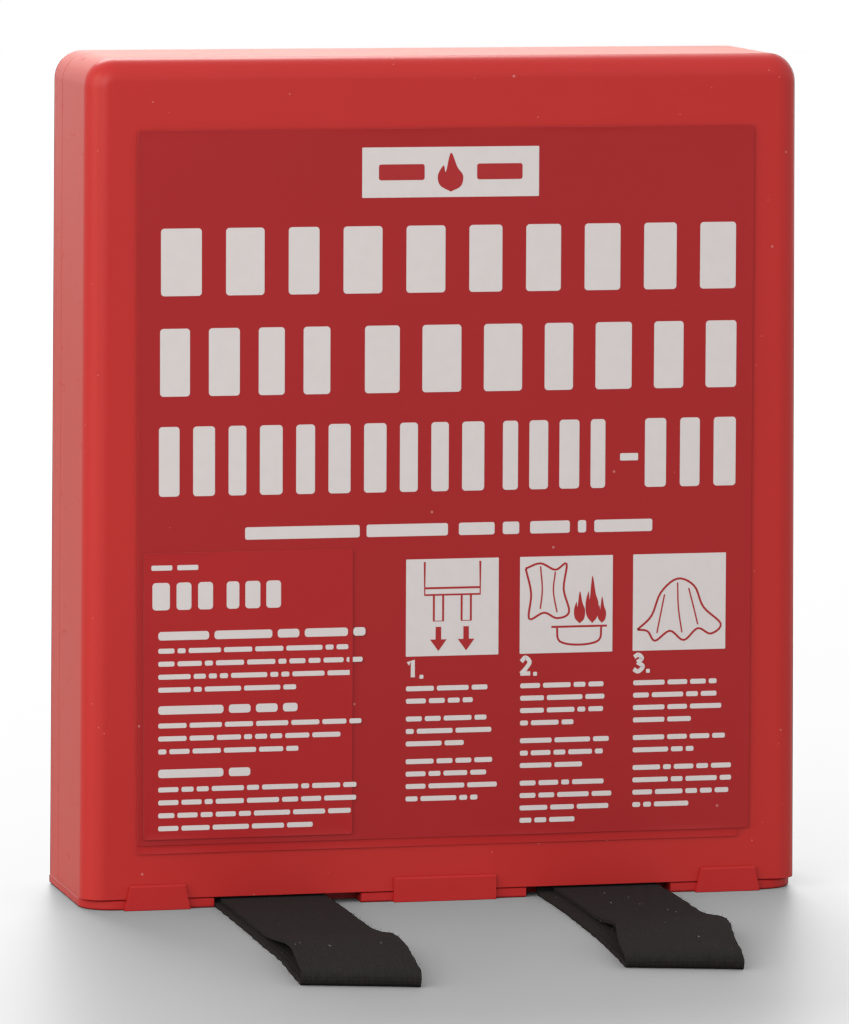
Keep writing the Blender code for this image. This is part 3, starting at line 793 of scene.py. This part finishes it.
for fold in ([(0.34, 0.58), (0.30, 0.38), (0.26, 0.18)], [(0.48, 0.70), (0.49, 0.44), (0.53, 0.18)],
             [(0.60, 0.64), (0.66, 0.42), (0.70, 0.26)]):
    pictures.line(in_picture(2, curve(fold, 5)), PEN * 0.7)
for x0, x1 in ((-25.0, -8.5), (10.5, 27.0)):
    pictures.bar(x0, x1, 256.6, 262.2, 0.8)
pictures.shape(ring_of([(-5.5 + 13.0 * a, 252.4 + 14.0 * b) for a, b in FLAME]))
pictures.print_on("picture_print", label_front, red_ink, rise=0.00007)
print("print shapes:", sum(len(d.faces) for d in (headline, left_print, right_print, pictures)))

# %% [markdown]
# ## The blanket
# 1.2 m by 1.2 m of glass cloth, folded like a map: first in five bands across, then that strip in five
# panels down. Both folds are zigzags with round turns, so one formula gives every point: walk the
# second zigzag, step off it by the height of the first, and go sideways by the first one's place.

# %% Fold the cloth
def zigzag(total, panels, pitch, straight_steps, turn_steps):
    """A path folded back and forth: for each step its place along and across the stack, normal, length."""
    radius = pitch / 2
    straight = (total - (panels - 1) * pi * radius) / panels
    spots, walked = [], 0.0
    for p in range(panels):
        way = 1 if p % 2 == 0 else -1
        level = (p - (panels - 1) / 2) * pitch
        for k in range(straight_steps + (p == panels - 1)):
            t = k / straight_steps
            spots.append((way * (t - 0.5) * straight, level, 0.0, float(way), walked + t * straight))
        walked += straight
        if p < panels - 1:
            for k in range(turn_steps):
                a = pi * k / turn_steps
                spots.append((way * (straight / 2 + radius * sin(a)), level + radius * (1 - cos(a)),
                              -sin(a), way * cos(a), walked + radius * a))
            walked += pi * radius
    return spots


def name_cloth(piece, marks):
    """Keep each point's place on the flat cloth, in metres, as a map for the weave."""
    chart = piece.data.uv_layers.new(name="cloth")
    for loop in piece.data.loops:
        chart.data[loop.index].uv = marks[loop.vertex_index]


pack_low, pack_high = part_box("folded_blanket")
pack_middle = (pack_low + pack_high) / 2
band = zigzag(CLOTH, 5, 0.0013, 12, 6)
panel = zigzag(CLOTH, 5, (pack_high.y - pack_low.y - 0.0002) / 5, 18, 10)
points, marks = [], []
for z, y, nz, ny, v in panel:
    for x, lift, _, _, u in band:
        ripple = 0.00022 * noise.noise(Vector((u * 9.0, v * 9.0, 2.0)))
        off = lift + ripple
        points.append((pack_middle.x + x + 0.0008 * noise.noise(Vector((u * 4.0, v * 3.0, 9.0))),
                       pack_middle.y + y + ny * off, pack_middle.z + z + nz * off))
        marks.append((u, v))
step = len(band)
faces = [(j * step + i, j * step + i + 1, (j + 1) * step + i + 1, (j + 1) * step + i)
         for j in range(len(panel) - 1) for i in range(step - 1)]
blanket = new_piece("glass_cloth_blanket", points, faces, glass_cloth)
name_cloth(blanket, marks)
thick = blanket.modifiers.new("thickness", "SOLIDIFY")
thick.thickness, thick.offset = 0.00045, 0.0
freeze(blanket)
blanket.data.shade_smooth()
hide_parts("folded_blanket")
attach(blanket, "blanket")
print("blanket folded to, mm:", [round(1000 * (pack_high[k] - pack_low[k])) for k in range(3)])

# %% [markdown]
# ## The pull tapes
# Each tape is one strip folded in half. Both ends are sewn to the cloth; the strip runs down the front
# of the pack, bends out under the shell through its notch, lies on the table and turns back in a loose
# nose. The upper half lifts off the lower one shortly before the nose, which opens a small dark loop.

# %% Lay out one tape
TAPE_WIDE, TAPE_THICK = 0.038, 0.00125
TAIL_Y, PAIR, BEND, AXIS_Y, AXIS_Z = -0.0312, 0.0029, 0.0020, -0.0368, 0.00155
LAYER, SLOPE = 0.0013, 0.0040            # SLOPE: how far the nose leans back at its top


def tape_path(nose_y, lift_y, crest_y, crest_z, nose_r):
    """Centre line in (y, z): up one layer's end, out along the floor, round the nose and back."""
    cy, cz = TAIL_Y - BEND, BEND + PAIR + 0.0001
    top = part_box("tape_tail_left")[1].z
    low, near = LAYER / 2 + 0.00005, LAYER * 1.5 + GAP
    behind, before = TAIL_Y + PAIR - LAYER / 2, TAIL_Y + LAYER / 2
    path = [(behind, top - (top - cz) * k / 20) for k in range(20)]
    path += curve_yz(cy, cz, BEND + PAIR - LAYER / 2, 0.0, -pi / 2, 8)
    out_to = nose_y + nose_r + LAYER / 2
    path += [(cy + (out_to - cy) * k / 60, low + (cz - BEND - PAIR + LAYER / 2 - low) * (1 - k / 60) ** 4)
             for k in range(1, 60)]
    path += [(y + SLOPE * max(z / nose_r - 1 - low / nose_r, 0.0) ** 2, z)
             for y, z in curve_yz(out_to, low + nose_r, nose_r, -pi / 2, -1.5 * pi, 16)]
    back_from = out_to + SLOPE
    for k in range(1, 61):
        y = back_from + (cy - back_from) * k / 60
        if y > lift_y:
            z = near
        elif y > crest_y:
            t = (lift_y - y) / (lift_y - crest_y)
            z = near + (crest_z - near) * t * t * (3 - 2 * t)
        else:
            t = (crest_y - y) / (crest_y - back_from)
            z = crest_z + (low + 2 * nose_r - crest_z) * t * t * (1.8 - 0.8 * t)
        path.append((y, max(z, near)))
    path += curve_yz(cy, cz, BEND + LAYER / 2, -pi / 2, 0.0, 8)[1:]
    return path + [(before, cz + (top - cz) * k / 20) for k in range(1, 21)]


def make_tape(side, middle, drift, skew, offsets, reach, lift, seed):
    """drift: how far the nose lies aside; skew: how slanted it is; offsets: the same for each layer;
    reach: the nose's y; lift: where the upper layer rises, its crest's y and z, and the nose's radii."""
    across, points, marks, walked = 16, [], [], 0.0
    lift_y, crest_y, crest_z, nose_left, nose_right = lift
    columns = [tape_path(reach - skew * (i / across - 0.5), lift_y, crest_y, crest_z,
                         (nose_left + (nose_right - nose_left) * i / across) * (1 - 0.28 * (i / across) ** 9))
               for i in range(across + 1)]
    path = columns[across // 2]
    nose_at = min(range(len(path)), key=lambda k: path[k][0])
    for k, (y, z) in enumerate(path):
        if k:
            walked += sqrt((y - path[k - 1][0]) ** 2 + (z - path[k - 1][1]) ** 2)
        out = min(max((AXIS_Y - y) / (AXIS_Y - reach), 0.0), 1.0)
        turned = min(max((k - nose_at) / 10 + 0.5, 0.0), 1.0)      # 0 on the lower layer, 1 on the upper
        aside = min(max((k - nose_at - 8) / 24, 0.0), 1.0)         # the same, but only after the nose
        for i in range(across + 1):
            u = i / across - 0.5
            sway = drift * out ** 2 + 0.0012 * out * noise.noise(Vector((walked * 22, seed, 0.5)))
            edge = 0.0004 * noise.noise(Vector((walked * 160, seed + 9 * (u > 0), 3.0))) * (abs(u) > 0.44)
            wave = 0.0010 * noise.noise(Vector((u * 1.6, walked * 26, seed + 4)))
            curl = 0.0009 * (2 * abs(u)) ** 6 * (0.6 + noise.noise(Vector((walked * 30, u, seed))))
            rise = max(wave + curl, 0.0) * out * turned
            shift = offsets[0] + (offsets[1] - offsets[0]) * aside * aside * (3 - 2 * aside)
            points.append((middle + u * TAPE_WIDE + sway + edge + shift,
                           columns[i][k][0], columns[i][k][1] + rise))
            marks.append((i / across * TAPE_WIDE, walked))
    step = across + 1
    faces = [(j * step + i, j * step + i + 1, (j + 1) * step + i + 1, (j + 1) * step + i)
             for j in range(len(path) - 1) for i in range(across)]
    tape = new_piece("pull_tape_" + side, points, faces, webbing_black)
    name_cloth(tape, marks)
    thick = tape.modifiers.new("thickness", "SOLIDIFY")
    thick.thickness, thick.offset = TAPE_THICK, 0.0
    freeze(tape)
    tape.data.shade_smooth()
    tape.data.set_sharp_from_angle(angle=1.0)
    return tape, walked


TAPES = {
    "left": dict(middle=-0.0638, drift=-0.0048, skew=0.012, offsets=(-0.0002, 0.0020), reach=-0.2085,
                 lift=(-0.104, -0.172, 0.0076, 0.0021, 0.0029), seed=5.0),
    "right": dict(middle=0.0550, drift=-0.0094, skew=0.012, offsets=(-0.0010, 0.0048), reach=-0.1965,
                  lift=(-0.096, -0.160, 0.0074, 0.0021, 0.0030), seed=8.0)}
tapes = {}
for side, numbers in TAPES.items():
    tape, length = make_tape(side, **numbers)
    tapes[side] = tape
    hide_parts("tape_tail_" + side, "tape_loop_" + side)
    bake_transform(tape)
    print(side, "tape is", round(length, 3), "m long")

# %% [markdown]
# ## Fuzz
# Brushed webbing sheds fibres. Hundreds of tiny bent hairs stand on it, thickest along the edges, and a
# few pale bits of lint cling to it. Each hair is a three-sided tapering tube.

# %% Grow the hairs
def hairs(name, tape, finish, count, length, radius, seed, edge_share):
    dice = np.random.default_rng(seed)
    mesh = tape.data
    spots = [(p.center.copy(), p.normal.copy(), p.area) for p in mesh.polygons
             if p.center.y < -0.036]
    areas = np.array([s[2] for s in spots])
    rim = np.array([abs(s[1].x) > 0.6 for s in spots])
    weight = np.where(rim, areas * edge_share, areas)
    picks = dice.choice(len(spots), count, p=weight / weight.sum())
    points, faces = [], []
    for pick in picks:
        centre, normal, area = spots[pick]
        reach = sqrt(area) / 2
        root = centre + Vector(dice.uniform(-reach, reach, 3)) * 0.8
        root -= normal * (root - centre).dot(normal)
        lean = Vector(dice.normal(0, 1, 3))
        lean -= normal * lean.dot(normal)
        lean.normalize()
        tall = length * dice.uniform(0.35, 1.0)
        way = normal * dice.uniform(0.25, 1.0) + lean
        way.normalize()
        bend = Vector(dice.normal(0, 0.5, 3))
        start = len(points)
        for k in range(3):
            t = k / 2
            middle = root + way * tall * t + bend * tall * 0.35 * t * t
            middle.z = max(middle.z, 0.0002)
            side = way.orthogonal().normalized()
            other = way.cross(side)
            thin = radius * (1 - 0.75 * t)
            for q in range(3):
                a = q * tau / 3
                points.append(middle + (side * cos(a) + other * sin(a)) * thin)
        for k in range(2):
            for q in range(3):
                a, b = start + 3 * k + q, start + 3 * k + (q + 1) % 3
                faces.append((a, b, b + 3, a + 3))
        faces += [(start + 2, start + 1, start), (start + 6, start + 7, start + 8)]
    return new_piece(name, points, faces, finish)


lint_finish = Finish("pale_lint")
lint_pale = lint_finish.wear(lint_finish.tint(paint(0.45, 0.43, 0.42), paint(0.75, 0.73, 0.72),
                                              lint_finish.noise(lint_finish.place(), 900.0)), 0.9)
for number, (side, tape) in enumerate(tapes.items()):
    fuzz = hairs("tape_fuzz_" + side, tape, webbing_black, 2600, 0.0013, 0.00004, 60 + number, 14.0)
    lint = hairs("tape_lint_" + side, tape, lint_pale, 26, 0.0008, 0.00010, 80 + number, 1.0)
    for piece in (fuzz, lint):
        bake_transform(piece)
    print(side, "hairs:", len(fuzz.data.polygons) // 8)

# %% [markdown]
# ## Stitching
# The ends of each tape are sewn to the cloth with a box and a cross. Every stitch is a short thread
# that comes up, runs over the webbing and dives back in, so each is a small arched tube.

# %% Sew the box and cross
def stitch_row(points, faces, start, end, front, pitch=0.0030, radius=0.00022, height=0.00022):
    """A run of stitches on the face y = front, from start to end given as (x, z)."""
    start, end = Vector(start), Vector(end)
    count = max(1, round((end - start).length / pitch))
    along = (end - start).normalized()
    for k in range(count):
        a = start + (end - start) * (k + 0.06) / count
        b = start + (end - start) * (k + 0.94) / count
        first = len(points)
        for ring in range(7):
            t = ring / 6
            x, z = a + (b - a) * t
            y = front + 0.0002 - (height + 0.0002) * sin(pi * t) ** 0.5
            thin = radius * (0.6 + 0.4 * sin(pi * t))
            for q in range(6):
                w = q * tau / 6
                points.append((x - along.y * cos(w) * thin, y + sin(w) * thin, z + along.x * cos(w) * thin))
        for ring in range(6):
            for q in range(6):
                a0, b0 = first + 6 * ring + q, first + 6 * ring + (q + 1) % 6
                faces.append((a0, b0, b0 + 6, a0 + 6))
        faces.append(tuple(first + q for q in reversed(range(6))))
        faces.append(tuple(first + 36 + q for q in range(6)))


for side in ("left", "right"):
    low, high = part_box("tape_stitching_" + side)
    x, z = (low.x + high.x) / 2, (low.z + high.z) / 2
    half = (high.x - low.x) / 2 - 0.0006
    corners = [(x - half, z - half), (x + half, z - half), (x + half, z + half), (x - half, z + half)]
    points, faces = [], []
    for k in range(4):
        stitch_row(points, faces, corners[k], corners[(k + 1) % 4], high.y + 0.0003)
    for a, b in ((0, 2), (1, 3)):
        stitch_row(points, faces, corners[a], corners[b], high.y + 0.0003)
    thread = new_piece("box_stitching_" + side, points, faces, white_thread)
    thread.data.shade_smooth()
    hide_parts("tape_stitching_" + side)
    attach(thread, "blanket")
    print(side, "stitches:", len(faces) // 38)

# %% [markdown]
# ## Studio
# A white room: a pale floor and even white light from all round. A lamp high behind lays a soft shadow
# towards us, a long low panel behind shines along the top, and two warm and neutral panels, left and in
# front, fill the side and the face.

# %% Floor, light and air
floor = new_piece("studio_floor", [(-6, -6, 0), (6, -6, 0), (6, 6, 0), (-6, 6, 0)], [(0, 1, 2, 3)])
floor_finish = Finish("pale_floor")
floor.data.materials.append(floor_finish.wear(paint(0.34, 0.30, 0.27), 0.45))
floor.is_shadow_catcher = True

world = bpy.data.worlds.new("white_room")
world.use_nodes = True
air, links = world.node_tree.nodes, world.node_tree.links
backdrop, glow, seen = air["Background"], air.new("ShaderNodeBackground"), air.new("ShaderNodeLightPath")
mix = air.new("ShaderNodeMixShader")
backdrop.inputs["Color"].default_value = paint(1.0, 1.0, 1.0)
glow.inputs["Color"].default_value, glow.inputs["Strength"].default_value = paint(1.0, 0.985, 0.975), 0.80
links.new(seen.outputs["Is Camera Ray"], mix.inputs[0])
links.new(glow.outputs[0], mix.inputs[1])
links.new(backdrop.outputs[0], mix.inputs[2])
links.new(mix.outputs[0], air["World Output"].inputs["Surface"])
scene.world = world


def lamp(name, place, target, width, height, watts, colour):
    data = bpy.data.lights.new(name, "AREA")
    data.shape, data.size, data.size_y, data.energy, data.color = "RECTANGLE", width, height, watts, colour
    light = bpy.data.objects.new(name, data)
    light.location = place
    light.rotation_euler = (Vector(target) - Vector(place)).to_track_quat("-Z", "Y").to_euler()
    scene.collection.objects.link(light)


lamp("high_softbox", (-0.05, 1.70, 1.85), (0.0, -0.15, 0.0), 1.2, 0.9, 32.0, (1.0, 0.98, 0.95))
lamp("back_panel", (0.7, 2.6, 0.55), (0.0, 0.0, 0.35), 2.6, 1.1, 12.5, (1.0, 0.94, 0.77))
lamp("left_softbox", (-2.1, -0.9, 1.0), (0.0, 0.0, 0.15), 1.5, 1.7, 21.0, (1.0, 0.86, 0.66))
lamp("front_panel", (-0.85, -1.6, 0.8), (-0.05, 0.0, 0.20), 0.9, 0.9, 9.0, (1.0, 1.0, 1.0))
